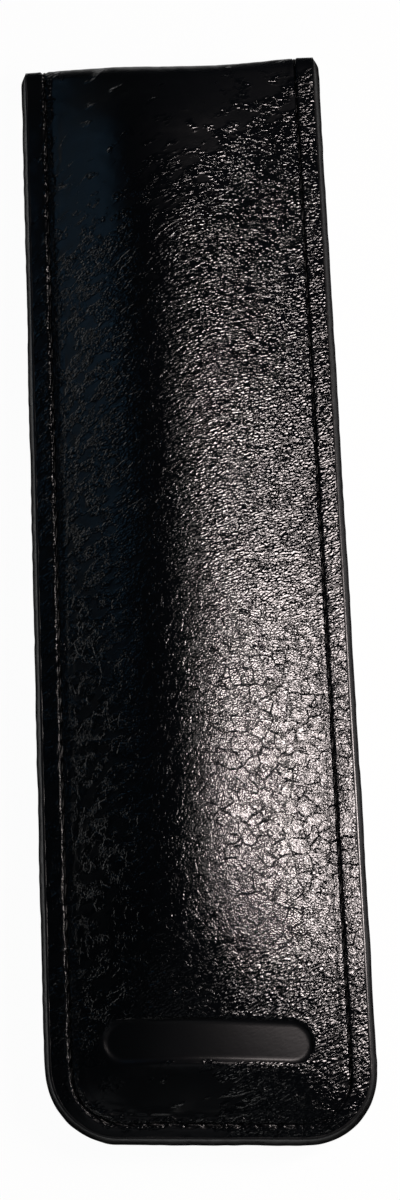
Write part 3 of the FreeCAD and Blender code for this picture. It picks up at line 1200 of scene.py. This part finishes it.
def floor_material():
    """White floor that reflections see glowing only as a ring around the object: a painted reflection for
    the object's rims, with painted shadow next to the object.
    """
    seen_share = 0.97
    mouth_shift = 5.0
    end_shift = 4.0
    ring_start = (10.0, 17.0)
    ring_end_beside = (25.0, 42.0)
    ring_end_past = (28.0, 55.0)
    left_beside = 0.03
    left_past = 0.1
    right_run = (0.0, 30.0)
    right_share = 0.7

    made, tree, shader = material("pale_floor")
    shader.inputs["Roughness"].default_value = 0.9
    shader.inputs["Specular IOR Level"].default_value = 0.1
    tone = noise(tree, millimetres(tree), size=60.0)
    two_tones(tree, shader, tone, (0.84, 0.84, 0.84), (0.88, 0.88, 0.88))
    place = node(tree, "ShaderNodeSeparateXYZ")
    tree.links.new(millimetres(tree), place.inputs[0])
    x = place.outputs[0]
    y = place.outputs[1]
    beside = math_node(tree, "SUBTRACT", math_node(tree, "ABSOLUTE", x), half_width)
    past_mouth = math_node(tree, "SUBTRACT", y, half_length - mouth_shift)
    past_end = math_node(tree, "SUBTRACT", times(tree, y, -1.0), half_length - end_shift)
    away = math_node(tree, "MAXIMUM", beside, math_node(tree, "MAXIMUM", past_mouth, past_end))
    # Glow for reflections: painted shadow next to the object, a painted reflection in the ring, dimmer far
    # off and on the right
    clear = spread(tree, away, ring_start, none_to_all)
    clear = times(tree, clear, spread(tree, beside, ring_end_beside, (1.0, left_beside)))
    clear = times(tree, clear, spread(tree, past_end, ring_end_past, (1.0, left_past)))
    clear = times(tree, clear, spread(tree, x, right_run, (1.0, right_share)))
    path = node(tree, "ShaderNodeLightPath")
    seen = path.outputs["Is Camera Ray"]
    glow = node(tree, "ShaderNodeEmission")
    glow.inputs["Color"].default_value = (1, 1, 1, 1)
    tree.links.new(math_node(tree, "MAXIMUM", seen, clear), glow.inputs["Strength"])
    share = math_node(tree, "MAXIMUM", times(tree, seen, seen_share), path.outputs["Is Glossy Ray"])
    mix = node(tree, "ShaderNodeMixShader")
    tree.links.new(share, mix.inputs[0])
    tree.links.new(shader.outputs[0], mix.inputs[1])
    tree.links.new(glow.outputs[0], mix.inputs[2])
    out = [n for n in tree.nodes if n.type == "OUTPUT_MATERIAL"][0]
    tree.links.new(mix.outputs[0], out.inputs["Surface"])
    return made


floor_half = 2000
floor_corners = [(-1, -1), (1, -1), (1, 1), (-1, 1)]
floor = new_object("floor", [[x * floor_half, y * floor_half, 0] for x, y in floor_corners], [[0, 1, 2, 3]])
floor.data.materials.append(floor_material())


def area_light(name, place, target, size, energy, colour):
    data = bpy.data.lights.new(name, "AREA")
    data.shape = "RECTANGLE"
    data.size = size[0] * MM
    data.size_y = size[1] * MM
    data.energy = energy
    data.color = colour
    obj = bpy.data.objects.new(name, data)
    obj.location = [v * MM for v in place]
    toward = np.array(target) - np.array(place)
    toward = toward / np.linalg.norm(toward)
    pitch = math.acos(-toward[2])
    yaw = math.atan2(toward[1], toward[0]) - math.pi / 2
    obj.rotation_euler = (pitch, 0.0, yaw)
    obj.visible_camera = False
    bpy.context.scene.collection.objects.link(obj)


# Name, place, target, width and height, watts and colour
area_light("key", (184, 6, 132), (12, -36, 10), (54, 124), 0.77, (1.0, 0.885, 0.865))
area_light("key_top", (120, 17, 260), (2, -36, 15), (70, 110), 0.075, (1.0, 0.9, 0.88))
area_light("cool_fill", (-190, 120, 82), (-10, 40, 8), (66, 44), 0.0018, (0.28, 0.61, 1.0))
area_light("cool_wide", (-196, 123, 84), (-10, 40, 8), (124, 88), 0.0068, (0.28, 0.61, 1.0))
area_light("end_fill", (-33, -203, 181), (0, -78, 5), (200, 90), 0.0075, (0.95, 0.97, 1.0))

world = bpy.data.worlds.new("room")
world.use_nodes = True
world.node_tree.nodes["Background"].inputs["Color"].default_value = (0.6, 0.8, 1.0, 1)
world.node_tree.nodes["Background"].inputs["Strength"].default_value = 0.02
bpy.context.scene.world = world

camera_place = (11.31, -110.31, 358.8)
camera_turn = (16.635, 2.316, -2.3)
camera_data = bpy.data.cameras.new("camera")
camera_data.lens = 78.0
camera_data.sensor_width = 36.0
camera_data.clip_start = 0.01
camera = bpy.data.objects.new("camera", camera_data)
camera.location = [v * MM for v in camera_place]
camera.rotation_euler = [math.radians(v) for v in camera_turn]
bpy.context.scene.collection.objects.link(camera)
bpy.context.scene.camera = camera
bpy.context.scene.view_settings.view_transform = "Standard"
